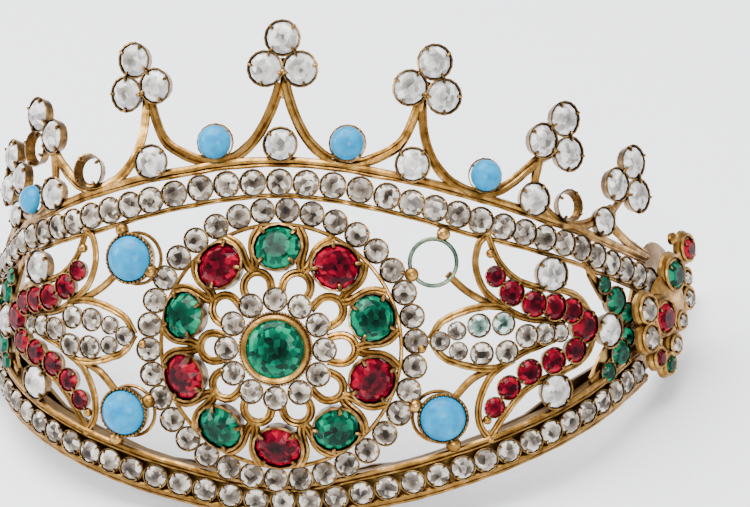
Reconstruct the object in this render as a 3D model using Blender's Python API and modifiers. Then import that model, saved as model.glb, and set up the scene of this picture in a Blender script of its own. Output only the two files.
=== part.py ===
"""Tiara of gilt brass wire, set with paste stones and blue cabochons.

Lengths in the tables are millimetres. A place on the tiara's wall is given as s (along the wall
from the centre front), z (height) and out (how far it stands in front of the wall).
"""
import math

import bmesh
import bpy
from mathutils import Matrix, Vector

MM = 0.001
SIDES = {"left": -1, "right": 1}

# The wall's line seen from above: arcs of a head's front, temples and sides.
WALL_ARCS = (
    # length, radius
    (23.563, 220.03),
    (51.437, 46.858),
    (80.0, 200.0),
)
WALL_LEAN = -0.0074
WALL_BOW = -0.00259

# The tiara leans back on the floor, on its front and on the two ends of the head band.
STANCE_LEAN = math.radians(11.8)
STANCE_LIFT = 1.42
STANCE_CENTRE_Y = 44.43

# A stone's table lies near out 0, its setting behind it, and the wires behind that.
STRIP_OUT = -1.7
STRIP_THICKNESS = 0.6
ROW_CROWN = 1.3
ROW_BACK = -1.4
TABLE_SHARE = 0.6
RAIL_OUT = -2.6
WIRE_OUT = -2.45
TIE_OUT = -2.9
CUP_OUT = -1.75
CLEARANCE = 0.3

# The band that lies on the head, behind the base channel.
BAND_OUT = -4.75
BAND_THICKNESS = 0.8
BAND_EDGES = (
    # s, lower z, upper z
    (0, 0.2, 3.4),
    (7, 0.5, 4.4),
    (12, 1.0, 7.4),
    (17, 1.7, 8.9),
    (22, 2.6, 9.2),
    (28, 3.9, 10.6),
    (40, 6.8, 13.6),
    (50, 8.8, 15.8),
    (62, 11.0, 19.6),
    (74, 12.6, 20.4),
    (86, 13.9, 20.6),
    (100, 14.4, 22.0),
    (112, 15.1, 23.0),
    (120, 15.6, 23.0),
    (126, 16.1, 22.6),
    (131, 16.51, 21.6),
)

# The base channel: a row of stones between two rails, with a closed back.
BASE_STONES = (
    # s, z
    (0, 2.8), (5.15, 2.9), (10.15, 3.6), (15.1, 4.5), (19.96, 5.5), (24.85, 6.6), (29.8, 7.7),
    (34.55, 8.8), (39.2, 9.8), (44.0, 10.9), (48.9, 11.9), (53.6, 12.8), (58.4, 13.6),
    (63.2, 14.4), (68.15, 15.1), (73.05, 15.6), (78.0, 16.1), (82.9, 16.5),
)
BASE_RAILS = (
    # s, lower z, upper z, how far the upper rail is set back
    (0, 0.0, 5.1, 0.8),
    (8.3, 0.5, 6.1, 0.8),
    (13, 1.1, 7.1, 0.3),
    (17, 1.9, 8.0, 0.0),
    (25.5, 3.7, 9.9, 0.0),
    (32, 5.2, 11.5, 0.0),
    (40, 7.0, 13.2, 0.0),
    (48, 8.7, 14.9, 0.0),
    (56, 10.2, 16.3, 0.0),
    (67, 11.9, 18.1, 0.0),
    (77, 13.0, 19.2, 0.0),
    (88, 13.9, 19.8, 0.0),
)
CHANNEL_SECTION = (
    # height from the rail's centre, of the lower rail when False, out from the rail's front
    (-0.7, False, -1.8),
    (-0.7, False, 0.0),
    (0.6, False, 0.0),
    (0.6, False, -1.0),
    (-0.6, True, -1.0),
    (-0.6, True, 0.0),
    (0.65, True, 0.0),
    (0.65, True, -1.8),
)
CHANNEL_FRONT = -1.8
FOOT_SIZE = (12.0, 1.6, 1.2)
FOOT_BEHIND_WALL = 1.75

# The upper row of stones and its two rails.
UPPER_STONES = (
    (0, 62.6), (5.32, 62.4), (10.64, 62.0), (15.96, 61.2), (21.28, 60.0), (26.6, 58.7),
    (31.92, 57.5), (37.24, 56.1), (42.56, 54.5), (47.88, 52.7), (53.2, 50.9), (58.52, 49.0),
    (64.0, 47.0), (69.2, 44.9), (74.5, 42.2), (79.7, 39.3), (84.9, 36.6), (90.0, 34.0),
    (94.6, 31.5),
)
RAIL_TOP = (
    (0, 65.7), (11.1, 65.0), (20, 63.5), (30.8, 61.6), (42.1, 58.6), (50.8, 55.8), (62, 51.4),
    (73.3, 46.8), (86.5, 40.2), (97, 35.0),
)
RAIL_LOW = (
    (0, 59.7), (10.2, 58.9), (20, 57.1), (30, 54.8), (40, 51.8), (50, 48.8), (60, 45.2),
    (70, 41.0), (80, 36.1), (92, 30.0),
)
RAIL_TOP_RADIUS = 0.75
RAIL_LOW_RADIUS = 0.45
ROW_STONE_RISE = 1.85
STONE_OVERLAP = 0.1
STONE_FILL = 0.95
ROW_MEETING_GAP = 0.45

# The crest: wire scallops that meet in pairs and rise to the spires.
CREST_SCALLOPS = (
    ((0.9, 77.6), (2.3, 74.6), (5.2, 69.8), (9.2, 66.5), (13.8, 65.3), (19.4, 66.4), (25.0, 69.4),
     (29.8, 74.4)),
    ((30.8, 74.4), (30.9, 70.4), (32.8, 65.4), (37.2, 61.2), (43.4, 58.8), (50.0, 58.9),
     (57.2, 60.8), (63.5, 62.0)),
    ((63.9, 62.0), (60.4, 58.4), (61.0, 54.4), (66.1, 50.0), (74.0, 47.9), (81.0, 47.6),
     (87.2, 47.2)),
    ((87.6, 47.0), (86.2, 44.8), (88.1, 42.4), (92.4, 39.0), (98.5, 35.3)),
)
CREST_RADIUS = 0.85
SPIRES = (
    # s, z, out, heading of the three stones, roll of the three stones, foot of the spire
    (0.0, 84.2, 0.0, 0.0, 0.0, (0.0, 77.0)),
    (33.3, 79.9, 1.0, 22.6, 19.7, (30.3, 74.2)),
    (70.2, 65.7, 1.0, 46.0, 33.0, (63.7, 62.0)),
    (94.9, 51.4, 0.6, 58.0, 33.0, (87.4, 47.1)),
)
SPIRE_TILT = math.radians(12)
SPIRE_STONE_RADIUS = 3.15
SPIRE_STONE_CENTRE = 3.85
SPIRE_CROWN = 1.5
SPIRE_HUB_RADIUS = 3.2
SPIRE_HUB_DEPTH = 0.6
SPIRE_HUB_FRONT = -1.3
SPIRE_STEM_RADIUS = 0.7
SPIRE_STEM_BACK = -3.0
LOST_SPIRE_STONE = ("spire_2_left", 210)

# Stones that stand alone. An empty one is an open collet that has lost its stone.
SINGLE_STONES = (
    # name, s, z, out, radius, on the left, on the right
    ("under_spire_1", 27.2, 65.6, 0.0, 2.95, "clear", "clear"),
    ("under_spire_2", 57.7, 56.4, 0.0, 2.95, "clear", "clear"),
    ("under_spire_3", 80.4, 47.3, 0.0, 2.6, "clear", "clear"),
    ("scallop_1", 13.45, 69.6, 0.8, 3.2, "blue", "blue"),
    ("scallop_2", 45.6, 62.4, 0.8, 3.0, "empty", "blue"),
    ("scallop_3", 68.4, 53.2, 0.8, 2.8, "blue", "empty"),
    ("corner_top", 58.5, 42.2, 0.3, 3.1, "clear", "clear"),
    ("corner_low", 55.5, 20.3, 0.3, 3.1, "clear", "clear"),
    ("apex_clear", 73.9, 27.7, 0.3, 3.1, "clear", "clear"),
    ("turquoise_top", 30.8, 47.9, 2.2, 4.4, "blue", "empty"),
    ("turquoise_low", 31.1, 18.8, 2.2, 4.4, "blue", "blue"),
)
CENTRE_SPIRE_STONE = ("under_spire_0", 0.0, 69.3, 0.0, 2.95)
CUP_RIM = 0.6
CUP_DEPTH = 1.5
CUP_TAPER = 0.6
SINGLE_CROWN = -CUP_OUT - CLEARANCE
EMPTY_RING_WIRE = 0.45

# The leaf beside the medallion, with its stones in two columns that narrow to one.
LEAF_OUTLINE = (
    (29.6, 33.4), (31.6, 36.2), (35.0, 37.6), (39.4, 38.4), (43.7, 38.3), (46.9, 37.3),
)
LEAF_OUTLINE_LOW = (
    (29.6, 33.4), (31.6, 30.2), (34.7, 28.6), (38.9, 27.3), (43.3, 26.8), (46.9, 27.8),
)
LEAF_STONES = (
    # s, z, radius
    (31.3, 33.3, 1.7), (34.9, 35.0, 1.6), (34.9, 31.2, 1.6), (39.6, 35.5, 2.05),
    (39.7, 30.2, 2.05), (45.0, 35.2, 2.05), (45.1, 29.8, 2.05), (50.0, 32.0, 2.1),
    (54.4, 31.7, 1.95), (58.4, 31.0, 1.6),
)
LEAF_PLATE = (
    # s, lower z, upper z
    (30.6, 32.6, 34.0), (34.9, 31.0, 35.2), (39.6, 30.0, 35.7), (45.2, 29.8, 35.4),
    (50.0, 30.8, 33.2), (58.6, 30.4, 31.6),
)

# The crescent of red stones that opens towards the medallion.
CRESCENT_INNER_TOP = (
    (44.0, 51.3), (41.4, 49.4), (40.5, 46.0), (41.4, 42.2), (45.6, 38.2), (50.0, 35.3),
    (60.6, 32.0),
)
CRESCENT_OUTER = (
    (44.2, 51.6), (45.9, 46.6), (49.6, 42.4), (55.2, 40.0), (61.4, 38.4), (66.6, 35.4),
    (69.4, 30.4), (67.4, 25.6), (61.6, 23.8), (53.7, 22.9), (48.4, 21.3), (44.0, 17.8),
    (40.4, 13.6),
)
CRESCENT_INNER_LOW = (
    (40.3, 14.0), (38.6, 17.2), (39.0, 21.5), (41.1, 24.9), (43.4, 26.6), (49.0, 28.7),
    (60.6, 30.2),
)
CRESCENT_STONES = (
    # s, z, radius
    (44.3, 44.1, 1.65), (47.6, 40.6, 2.0), (52.6, 37.7, 2.05), (57.6, 36.2, 2.05),
    (62.2, 34.5, 1.95), (65.4, 30.7, 3.0), (61.6, 27.0, 1.95), (55.6, 26.3, 2.05),
    (49.6, 25.3, 2.0), (44.8, 23.1, 1.9), (41.5, 19.8, 1.65),
)
STRIP_MARGIN = 0.15
FINE_WIRE_RADIUS = 0.45

# Short wires and solder balls: points of each run, radius.
TIES = (
    (((32.7, 46.2), (37.8, 41.9), (43.4, 38.4)), 0.6),
    (((32.8, 20.7), (37.6, 24.9), (42.9, 26.7)), 0.6),
    (((35.0, 54.4), (32.6, 49.7)), 1.1),
    (((40.6, 14.2), (40.4, 12.8)), 0.8),
    (((44.2, 51.4), (44.4, 52.4)), 0.7),
    (((32.1, 16.6), (33.3, 11.6)), 1.1),
    (((69.2, 29.6), (71.2, 28.4)), 0.8),
    (((76.4, 27.6), (79.6, 27.4), (86.0, 25.6)), 0.8),
)
# Wires from the medallion's rim to the frame around it.
MEDALLION_TIES = (
    # angle on the medallion, s, z, out, radius
    (3.0, 30.0, 33.4, -2.9, 0.65),
    (33.0, 28.5, 46.5, -3.2, 0.8),
    (-31.0, 28.7, 20.0, -3.2, 0.8),
    (80.0, 4.6, 59.6, -3.4, 0.65),
)
# Sheet that carries the sprays of the green stones by the rosette.
SPRIG_PLATES = (
    # s, lower z, upper z
    ((72.0, 38.4, 41.4), (75.4, 33.0, 37.2), (79.4, 29.6, 34.0), (83.4, 26.9, 30.4),
     (86.4, 25.4, 28.0)),
    ((66.9, 18.2, 19.8), (71.2, 19.0, 23.0), (76.4, 20.4, 25.0), (81.4, 22.4, 26.6),
     (86.4, 24.2, 26.8)),
)
SPRIG_THICKNESS = 0.7

# The rosette at each end, carried by a plate on two bosses.
CARRIER_EDGES = (
    # s, lower z, upper z
    (84, 15.4, 26.4), (90, 14.6, 31.6), (96.5, 15.0, 35.8), (104, 17.4, 36.4), (110, 21.0, 33.0),
)
CARRIER_THICKNESS = 0.8
ROSETTE_BOSSES = ((91.0, 25.0), (102.0, 28.5))
BOSS_CLEARANCE = 0.65
BOSS_RADIUS = 2.0
PLATE_OUT = -2.75
ROSETTE_EDGES = (
    # s, lower z, upper z
    (82.0, 21.6, 26.0), (85.0, 15.8, 31.0), (91.0, 13.6, 33.6), (98.0, 15.0, 36.4),
    (105.0, 18.8, 38.6), (111.0, 21.6, 36.4), (115.0, 28.0, 34.8),
)
ROSETTE_OUT = 1.0
ROSETTE_STONES = (
    # s, z, radius
    (92.3, 25.0, 3.0), (100.6, 31.4, 2.8), (110.4, 33.6, 2.2), (84.9, 28.4, 1.9),
    (84.2, 23.4, 1.9), (105.9, 24.6, 1.9),
)
ROSETTE_CROWN = 2.0

# The medallion: a disc that leans back, its fret rising in a low cone to the inner ring.
MEDALLION_Z = 31.95
MEDALLION_OUT = -3.1
MEDALLION_LEAN = math.radians(12.35)
RING_STONES = 34
RING_STONE_CENTRE = 25.6
RING_TURN = math.radians(-2.64)
RING_STONE_RISE = 1.75
RING_WIRE_CENTRE = 26.9
RING_WIRE_OUT = -2.8
RING_WIRE_RADIUS = 0.5
RING_WIRE_SIDES = 24
INNER_STONES = 12
INNER_STONE_CENTRE = 9.29
INNER_TABLE = 6.74
COLOURED_STONES = 10
COLOURED_CENTRE = 19.31
COLOURED_RADIUS = 4.1
COLOURED_TABLE = 4.62
COLOURED_TILT = math.radians(28)
COLOURED_CROWN = 1.0
COLOURED_GIRDLE = 0.45
CENTRE_RADIUS = 5.5
CENTRE_TABLE = 7.5
CENTRE_CROWN = 1.3
CENTRE_GIRDLE = 0.6
DOME_PROFILE = (
    # radius, height over the disc, from behind the inner ring to the top of the centre's bezel
    (9.9, 3.3), (11.3, 3.5), (11.3, 4.3), (10.4, 4.6), (6.6, 4.7), (6.6, 5.3),
)
DOME_SIDES = 20
FRET_RADIUS = 24.2
FRET_INNER = 10.75
FRET_SIDES = 30
FRET_LEVEL = 0.35
FRET_SLOPE = 0.271
FRET_THICKNESS = 0.8
FRET_HOLES = (
    # turn from a coloured stone's spoke in degrees, corners as distance and sideways
    (18, ((11.6, 0.6), (12.1, 1.9), (13.2, 1.75), (14.2, 0.0), (13.2, -1.75), (12.1, -1.9),
          (11.6, -0.6))),
    (0, ((12.0, 0.0), (13.3, 1.9), (15.4, 3.3), (14.4, 0.0), (15.4, -3.3), (13.3, -1.9))),
    (18, ((19.1, 0.2), (22.3, 1.9), (22.5, -1.8))),
)

COLOURS = {
    # sRGB colour, roughness, metallic
    "gilt_brass": ((0.71, 0.54, 0.32), 0.38, 1.0),
    "clear_paste": ((0.82, 0.82, 0.82), 0.08, 0.0),
    "red_paste": ((0.62, 0.06, 0.18), 0.08, 0.0),
    "green_paste": ((0.04, 0.54, 0.35), 0.08, 0.0),
    "blue_glass": ((0.36, 0.72, 0.87), 0.3, 0.0),
}

for old in list(bpy.data.objects):
    bpy.data.objects.remove(old, do_unlink=True)

tiara = bpy.data.collections.new("tiara")
cutters = bpy.data.collections.new("cutters")
for collection in (tiara, cutters):
    bpy.context.scene.collection.children.link(collection)


def linear(value):
    """One sRGB channel as scene-linear light."""
    return value / 12.92 if value <= 0.04045 else ((value + 0.055) / 1.055) ** 2.4


def make_material(name):
    colour, roughness, metallic = COLOURS[name]
    material = bpy.data.materials.new(name)
    material.use_nodes = True
    shader = material.node_tree.nodes["Principled BSDF"]
    shader.inputs["Base Color"].default_value = (*[linear(v) for v in colour], 1.0)
    shader.inputs["Roughness"].default_value = roughness
    shader.inputs["Metallic"].default_value = metallic
    return material


# Places on the tiara

STANCE = (
    Matrix.Translation((0, -STANCE_CENTRE_Y, STANCE_LIFT)) @ Matrix.Rotation(-STANCE_LEAN, 4, "X")
)


def plan(s):
    """The wall's place seen from above, and its heading, at s mm from the centre front."""
    x, y, heading, left = 0.0, 0.0, 0.0, abs(s)
    for length, radius in WALL_ARCS:
        turn = min(left, length) / radius
        x += radius * (math.sin(heading + turn) - math.sin(heading))
        y += radius * (math.cos(heading) - math.cos(heading + turn))
        heading += turn
        left = max(0.0, left - length)
    return (x, y, heading) if s >= 0 else (-x, y, -heading)


def wall(s, z, out=0.0):
    """Point on the wall, in metres, as the tiara stands."""
    x, y, heading = plan(s)
    reach = WALL_LEAN * z + WALL_BOW * z * z + out
    place = Vector((x + reach * math.sin(heading), y - reach * math.cos(heading), z))
    return STANCE @ place * MM


def wall_frame(s, z, out=0.0):
    """Frame on the wall: X along it, Y up it, Z out of it."""
    heading = plan(s)[2]
    slope = WALL_LEAN + 2 * WALL_BOW * z
    along = Vector((math.cos(heading), math.sin(heading), 0))
    up = Vector((slope * math.sin(heading), -slope * math.cos(heading), 1)).normalized()
    turn = Matrix((along, up, along.cross(up))).transposed().to_4x4()
    frame = STANCE.to_3x3().to_4x4() @ turn
    frame.translation = wall(s, z, out)
    return frame


def spire_frame(side, s, z, out, heading, roll):
    """Frame of a spire's three stones, which face more to the front than the wall does."""
    angle = side * math.radians(heading)
    turn = (
        Matrix.Rotation(angle, 3, "Z")
        @ Matrix.Rotation(math.pi / 2 - SPIRE_TILT, 3, "X")
        @ Matrix.Rotation(-side * math.radians(roll), 3, "Z")
    )
    frame = (STANCE.to_3x3() @ turn).to_4x4()
    frame.translation = wall(side * s, z, out)
    return frame


def medallion_frame(radius=0.0, angle=0.0, out=0.0):
    """Frame over the medallion's disc, turned so that X points away from its centre."""
    disc = Matrix.Rotation(math.pi / 2 - MEDALLION_LEAN, 4, "X")
    centre = STANCE.inverted() @ (wall(0, MEDALLION_Z, MEDALLION_OUT) / MM)
    frame = (
        STANCE
        @ Matrix.Translation(centre)
        @ disc
        @ Matrix.Rotation(angle, 4, "Z")
        @ Matrix.Translation((radius, 0, out))
    )
    frame.translation *= MM
    return frame


def smooth(points, parts=3):
    """Points on a smooth curve through the given ones, with so many parts to a span."""
    knots = [Vector(point) for point in points]
    curve = []
    for i in range(len(knots) - 1):
        a, b = knots[max(i - 1, 0)], knots[i]
        c, d = knots[i + 1], knots[min(i + 2, len(knots) - 1)]
        for k in range(parts):
            t = k / parts
            curve.append(
                0.5 * (2 * b + (c - a) * t + (2 * a - 5 * b + 4 * c - d) * t * t
                       + (3 * b - 3 * c + d - a) * t * t * t)
            )
    curve.append(knots[-1])
    return curve


def both_ways(table):
    """A half's table, from the centre out, as one run from end to end."""
    return [(-row[0], *row[1:]) for row in reversed(table[1:])] + list(table)


# Building tools

def add_object(name, mesh, collection=cutters):
    part = bpy.data.objects.new(name, mesh)
    collection.objects.link(part)
    return part


def finish_mesh(name, bm, frame=None):
    """Object from a bmesh whose sizes are in metres."""
    bmesh.ops.recalc_face_normals(bm, faces=bm.faces)
    mesh = bpy.data.meshes.new(name)
    bm.to_mesh(mesh)
    bm.free()
    part = add_object(name, mesh)
    if frame is not None:
        part.matrix_world = frame
    return part


def wire(points, radius, sides=4, closed=False):
    """Round wire through points in metres, as a closed mesh."""
    curve = bpy.data.curves.new("wire", "CURVE")
    curve.dimensions = "3D"
    curve.fill_mode = "FULL"
    curve.bevel_depth = radius * MM
    curve.bevel_resolution = (sides - 4) // 2
    curve.use_fill_caps = not closed
    spline = curve.splines.new("POLY")
    spline.points.add(len(points) - 1)
    for knot, place in zip(spline.points, points):
        knot.co = (*place, 1.0)
    spline.use_cyclic_u = closed
    tube = add_object("wire", curve)
    bpy.context.view_layer.update()
    mesh = bpy.data.meshes.new_from_object(tube.evaluated_get(bpy.context.evaluated_depsgraph_get()))
    bpy.data.objects.remove(tube, do_unlink=True)
    bm = bmesh.new()
    bm.from_mesh(mesh)
    bmesh.ops.remove_doubles(bm, verts=bm.verts, dist=1e-6)
    return finish_mesh("wire", bm)


def wall_wire(points, radius, side=1, out=WIRE_OUT, sides=4, parts=1):
    """Wire through (s, z) or (s, z, out) places on one side of the wall."""
    places = [
        wall(side * p[0], p[1], p[2] if len(p) > 2 else out) for p in smooth(points, parts)
    ]
    return wire(places, radius, sides)


def sheet(rows, thickness, closed=False, flip=False):
    """Strip of sheet through rows of two points, thickened towards its front."""
    bm = bmesh.new()
    verts = [[bm.verts.new(place) for place in row] for row in rows]
    following = verts[1:] + verts[:1] if closed else verts[1:]
    for before, after in zip(verts, following):
        bm.faces.new((before[0], after[0], after[1], before[1]))
    if flip:
        bmesh.ops.reverse_faces(bm, faces=bm.faces)
    mesh = bpy.data.meshes.new("sheet")
    bm.to_mesh(mesh)
    bm.free()
    strip = add_object("sheet", mesh)
    solidify = strip.modifiers.new("Thickness", "SOLIDIFY")
    solidify.thickness = thickness * MM
    solidify.offset = 1.0
    return strip


def ribbon(edges, out, thickness, side=1):
    """Strip of sheet that follows the wall between a lower and an upper edge."""
    rows = [[wall(side * s, z, out) for z in (low, high)] for s, low, high in edges]
    return sheet(rows, thickness, flip=side < 0)


def channel(rails):
    """Closed sweep of the channel's section along the wall."""
    bm = bmesh.new()
    rings = []
    for s, low, high, set_back in rails:
        ring = []
        for rise, upper, out in CHANNEL_SECTION:
            front = CHANNEL_FRONT - (set_back if upper and out == 0.0 else 0.0)
            ring.append(bm.verts.new(wall(s, (high if upper else low) + rise, front + out)))
        rings.append(ring)
    for before, after in zip(rings, rings[1:]):
        for i in range(len(before)):
            j = (i + 1) % len(before)
            bm.faces.new((before[i], after[i], after[j], before[j]))
    bm.faces.new(rings[0])
    bm.faces.new(rings[-1])
    return finish_mesh("channel", bm)


def frustum(frame, back_radius, front_radius, back, front, sides=8):
    """Tapered round block between two heights on its frame's Z."""
    bm = bmesh.new()
    bmesh.ops.create_cone(
        bm, cap_ends=True, segments=sides, radius1=back_radius * MM,
        radius2=front_radius * MM, depth=(front - back) * MM,
        matrix=Matrix.Translation((0, 0, (front + back) / 2 * MM)),
    )
    return finish_mesh("frustum", bm, frame)


def turned(frame, profile, sides):
    """Solid of a radius and height profile turned about its frame's Z, capped at both ends."""
    bm = bmesh.new()
    rings = []
    for radius, height in profile:
        angles = [k * math.tau / sides for k in range(sides)]
        rings.append([
            bm.verts.new((math.cos(a) * radius * MM, math.sin(a) * radius * MM, height * MM))
            for a in angles
        ])
    for before, after in zip(rings, rings[1:]):
        for i in range(sides):
            j = (i + 1) % sides
            bm.faces.new((before[i], before[j], after[j], after[i]))
    bm.faces.new(rings[0])
    bm.faces.new(rings[-1])
    return finish_mesh("turned", bm, frame)


def crown(frame, half_width, height=ROW_CROWN, back=ROW_BACK, rise=None):
    """Crown of a cut stone, eight-sided, with a flat side to each neighbour in its row."""
    squash = (rise or half_width) / half_width
    corner = half_width / math.cos(math.pi / 8)
    stone = frustum(frame, corner, corner * TABLE_SHARE, back, back + height)
    stone.data.transform(
        Matrix.Diagonal((1, squash, 1, 1)) @ Matrix.Rotation(math.pi / 8, 4, "Z")
    )
    return stone


def gem(name, frame, radius, height, girdle, sides=8):
    """Cut stone by itself: a girdle, facets and a table at the frame's origin."""
    bm = bmesh.new()
    bmesh.ops.create_cone(
        bm, cap_ends=True, segments=sides, radius1=radius * MM, radius2=radius * MM,
        depth=girdle * MM,
        matrix=Matrix.Translation((0, 0, (-height - girdle / 2) * MM)),
    )
    top = max(bm.faces, key=lambda face: face.calc_center_median().z)
    inset = radius * (1 - TABLE_SHARE)
    bmesh.ops.inset_region(bm, faces=[top], thickness=inset * MM, depth=height * MM)
    return finish_mesh(name, bm, frame)


def dome(name, frame, radius, height, sides=10):
    """Cabochon: half a ball, its top at the frame's origin."""
    bm = bmesh.new()
    bmesh.ops.create_uvsphere(bm, u_segments=sides, v_segments=6, radius=radius * MM)
    cut = bmesh.ops.bisect_plane(
        bm, geom=bm.verts[:] + bm.edges[:] + bm.faces[:], dist=1e-6, plane_co=(0, 0, 0),
        plane_no=(0, 0, 1), clear_inner=True,
    )
    rim = [item for item in cut["geom_cut"] if isinstance(item, bmesh.types.BMEdge)]
    bmesh.ops.holes_fill(bm, edges=rim, sides=0)
    bmesh.ops.scale(bm, vec=(1, 1, height / radius), verts=bm.verts)
    bmesh.ops.translate(bm, vec=(0, 0, -height * MM), verts=bm.verts)
    return finish_mesh(name, bm, frame)


def block(frame, size):
    bm = bmesh.new()
    bmesh.ops.create_cube(bm, size=1.0, matrix=Matrix.Diagonal((*[v * MM for v in size], 1)))
    return finish_mesh("block", bm, frame)


def fuse(name, pieces, material):
    """One solid from pieces that touch."""
    base, *others = pieces
    group = bpy.data.collections.new(name + "_pieces")
    for other in others:
        group.objects.link(other)
    union = base.modifiers.new("Union", "BOOLEAN")
    union.operation = "UNION"
    union.operand_type = "COLLECTION"
    union.collection = group
    union.solver = "EXACT"
    bpy.context.view_layer.update()
    mesh = bpy.data.meshes.new_from_object(base.evaluated_get(bpy.context.evaluated_depsgraph_get()))
    place = base.matrix_world.copy()
    for piece in pieces:
        bpy.data.objects.remove(piece, do_unlink=True)
    solid = add_object(name, mesh, tiara)
    solid.matrix_world = place
    bpy.data.collections.remove(group)
    dress(solid, material)
    return solid


def dress(solid, material):
    """Give a finished solid its name's place in the collection and its material."""
    solid.data.materials.clear()
    solid.data.materials.append(materials[material])
    if solid.name not in tiara.objects:
        cutters.objects.unlink(solid)
        tiara.objects.link(solid)


materials = {name: make_material(name) for name in COLOURS}


# Head band: plain sheet that lies on the hair behind the channel and ends past the rosettes.

fuse("head_band", [ribbon(both_ways(BAND_EDGES), BAND_OUT, BAND_THICKNESS)], "gilt_brass")


# Frame: channel, rails, crest, leaf and crescent outlines, cups and plates, soldered together.

frame_pieces = [
    channel(both_ways(BASE_RAILS)),
    wall_wire(both_ways(RAIL_TOP), RAIL_TOP_RADIUS, out=RAIL_OUT),
    wall_wire(both_ways(RAIL_LOW), RAIL_LOW_RADIUS, out=RAIL_OUT),
    wire(
        [
            medallion_frame(RING_WIRE_CENTRE, k * math.tau / RING_WIRE_SIDES, RING_WIRE_OUT).translation
            for k in range(RING_WIRE_SIDES)
        ],
        RING_WIRE_RADIUS, closed=True,
    ),
]


def spire_stem(side, s, z, out, heading, roll, foot):
    """Wire from a spire's foot on the crest to behind its three stones."""
    frame = spire_frame(side, s, z, out, heading, roll)
    behind = frame @ Vector((0, 0, SPIRE_STEM_BACK * MM))
    low = frame @ Vector((0, -SPIRE_HUB_RADIUS * MM, SPIRE_STEM_BACK * MM))
    return wire([wall(side * foot[0], foot[1], RAIL_OUT), low, behind], SPIRE_STEM_RADIUS)


def cup(frame, radius):
    """Collet behind a stone, tapering to the back."""
    return frustum(
        frame, radius * CUP_TAPER, radius + CUP_RIM, CUP_OUT - CUP_DEPTH, CUP_OUT, sides=6,
    )


frame_pieces.append(cup(wall_frame(*CENTRE_SPIRE_STONE[1:3]), CENTRE_SPIRE_STONE[4]))
frame_pieces.append(spire_stem(1, *SPIRES[0]))
for side in SIDES.values():
    for scallop in CREST_SCALLOPS:
        frame_pieces.append(wall_wire(scallop, CREST_RADIUS, side, RAIL_OUT))
    for spire in SPIRES[1:]:
        frame_pieces.append(spire_stem(side, *spire))
    for outline in (
        LEAF_OUTLINE, LEAF_OUTLINE_LOW, CRESCENT_INNER_TOP, CRESCENT_OUTER, CRESCENT_INNER_LOW,
    ):
        frame_pieces.append(wall_wire(outline, FINE_WIRE_RADIUS, side))
    for run, radius in TIES:
        frame_pieces.append(wall_wire(run, radius, side, TIE_OUT))
    for angle, s, z, out, radius in MEDALLION_TIES:
        turn = math.radians(angle if side > 0 else 180 - angle)
        start = medallion_frame(RING_WIRE_CENTRE, turn, RING_WIRE_OUT).translation
        frame_pieces.append(wire([start, wall(side * s, z, out)], radius))
    for edges in SPRIG_PLATES:
        frame_pieces.append(ribbon(edges, PLATE_OUT, SPRIG_THICKNESS, side))
    frame_pieces.append(ribbon(CARRIER_EDGES, PLATE_OUT, CARRIER_THICKNESS, side))
    for s, z in ROSETTE_BOSSES:
        boss = wall_frame(side * s, z)
        frame_pieces.append(
            frustum(
                boss, BOSS_RADIUS, BOSS_RADIUS, WIRE_OUT, ROSETTE_OUT - BOSS_CLEARANCE, sides=6,
            )
        )
    for name, s, z, out, radius, left, right in SINGLE_STONES:
        place = wall_frame(side * s, z)
        if (left if side < 0 else right) == "empty":
            ring = [
                place @ Vector((math.cos(a) * radius * MM, math.sin(a) * radius * MM, WIRE_OUT * MM))
                for a in [k * math.tau / 12 for k in range(12)]
            ]
            frame_pieces.append(wire(ring, EMPTY_RING_WIRE, closed=True))
        else:
            frame_pieces.append(cup(place, radius))

foot = Matrix.Translation(
    Vector((0, STANCE.translation.y + FOOT_BEHIND_WALL + FOOT_SIZE[1] / 2, FOOT_SIZE[2] / 2)) * MM
)
frame_pieces.append(block(foot, FOOT_SIZE))
fuse("frame", frame_pieces, "gilt_brass")


# Rows of stones in the channel and between the upper rails.

def between(stones):
    """Places half-way between stones, and as far past the first and last."""
    line = [Vector(stone[:2]) for stone in stones]
    middles = [(before + after) / 2 for before, after in zip(line, line[1:])]
    return [2 * line[0] - middles[0], *middles, 2 * line[-1] - middles[-1]]


def joined_stones(name, frames, material, rise=None, closed=False):
    """Stones whose settings meet edge to edge, as one solid."""
    pieces = []
    for i, frame in enumerate(frames):
        before = frames[i - 1] if i > 0 or closed else frame
        after = frames[(i + 1) % len(frames)] if i < len(frames) - 1 or closed else frame
        spot = frame.translation
        reach = max((spot - other.translation).length for other in (before, after)) / MM
        run = frame.inverted().to_3x3() @ (after.translation - before.translation)
        place = frame @ Matrix.Rotation(math.atan2(run.y, run.x), 4, "Z")
        pieces.append(crown(place, reach / 2 + STONE_OVERLAP, rise=rise))
    return fuse(name, pieces, material)


def stone_row(name, stones, side):
    """Half a row. The centre stone is the right half's, and the left half starts clear of it."""
    if side < 0:
        stones = [(s + ROW_MEETING_GAP, z) for s, z in stones[1:]]
    frames = [wall_frame(side * s, z) for s, z in stones]
    joined_stones(name, frames, "clear_paste", ROW_STONE_RISE)


for side_name, side in SIDES.items():
    stone_row("base_row_" + side_name, BASE_STONES, side)
    stone_row("upper_row_" + side_name, UPPER_STONES, side)


# Stones of the leaves, crescents and rosettes, each field on its own plate.

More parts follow.
